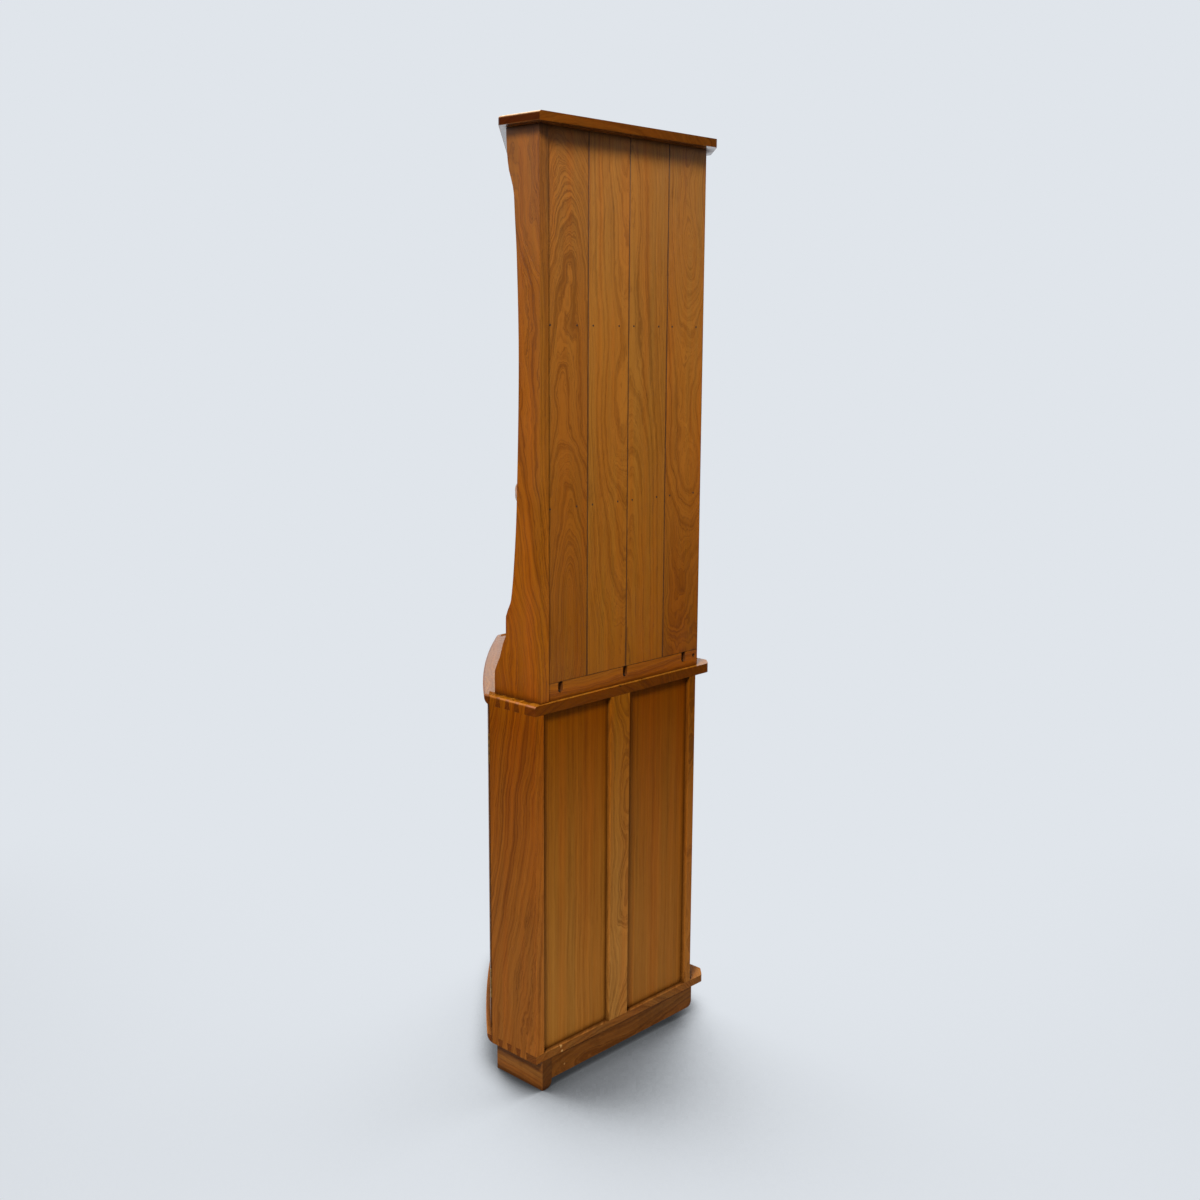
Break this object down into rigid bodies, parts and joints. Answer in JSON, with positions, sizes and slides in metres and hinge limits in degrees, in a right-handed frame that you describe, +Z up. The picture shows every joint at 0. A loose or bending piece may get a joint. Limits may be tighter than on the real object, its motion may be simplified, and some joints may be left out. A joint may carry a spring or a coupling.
{
  "type": "corner cabinet",
  "caption": "Bow-front wooden corner cabinet: an open upper part with shaped sides, boarded back and shelves, on a cupboard base with a hinged bowed door.",
  "frame": {"origin": "on the floor, at the middle of the whole cabinet's box", "axes": "+X to the cabinet's right as seen by someone facing it from the room's side, -Y out of its bow front into the room, +Z up"},
  "size_m": [0.7948, 0.4742, 1.83],
  "materials": {
    "elm": "waxed golden-brown elm, satin, with bold grain",
    "elm_dark": "the same elm on hidden edges and frame pieces, darker and less polished",
    "elm_ply": "straight-grained veneered panel, satin",
    "softwood": "bare pale softwood",
    "brass": "drawn brass, slightly tarnished",
    "steel": "dull bright-zinc steel",
    "brown_plastic": "dark brown moulded plastic"
  },
  "bodies": {
    "carcase": {"base_bottom": "elm_dark", "base_corner_post": "elm_dark", "base_muntin_left": "elm_dark", "base_muntin_right": "elm_dark", "base_panel_left_inner": "elm_ply", "base_panel_left_outer": "elm_ply", "base_panel_right_inner": "elm_ply", "base_panel_right_outer": "elm_ply", "base_side_left": "elm", "base_side_right": "elm", "base_top": "elm", "catch_case": "brown_plastic", "catch_magnet": "steel", "cornice": "elm", "cornice_batten_left": "softwood", "cornice_batten_right": "softwood", "cupboard_cleat_left": "softwood", "cupboard_cleat_right": "softwood", "cupboard_shelf": "elm_ply", "door_jamb_left": "elm_dark", "door_jamb_right": "elm_dark", "hinge_lower_frame_leaf": "brass", "hinge_lower_pin": "brass", "hinge_upper_frame_leaf": "brass", "hinge_upper_pin": "brass", "plinth_front": "elm_dark", "plinth_rail_left": "elm_dark", "plinth_rail_right": "elm_dark", "plinth_rear_foot": "softwood", "plinth_side_left": "elm_dark", "plinth_side_right": "elm_dark", "pocket_screw_left_1": "steel", "pocket_screw_left_2": "steel", "pocket_screw_left_3": "steel", "pocket_screw_right_1": "steel", "pocket_screw_right_2": "steel", "pocket_screw_right_3": "steel", "shelf_lower": "elm", "shelf_upper": "elm", "upper_board_left_1": "elm", "upper_board_left_2": "elm", "upper_board_left_3": "elm", "upper_board_left_4": "elm", "upper_board_right_1": "elm", "upper_board_right_2": "elm", "upper_board_right_3": "elm", "upper_board_right_4": "elm", "upper_corner_board": "elm_dark", "upper_rail_left": "elm_dark", "upper_rail_right": "elm_dark", "upper_side_left": "elm", "upper_side_right": "elm"},
    "door": {"door_panel": "elm", "door_knob": "elm_dark", "door_knob_screw": "steel", "hinge_upper_door_leaf": "brass", "hinge_lower_door_leaf": "brass", "catch_strike": "steel"}
  },
  "joints": [
    {"name": "door_hinge", "type": "hinge", "parent": "carcase", "child": "door", "pos_m": [0.25138, -0.21081, 0.419], "axis": [0, 0, 1], "range_deg": [0, 115]}
  ]
}
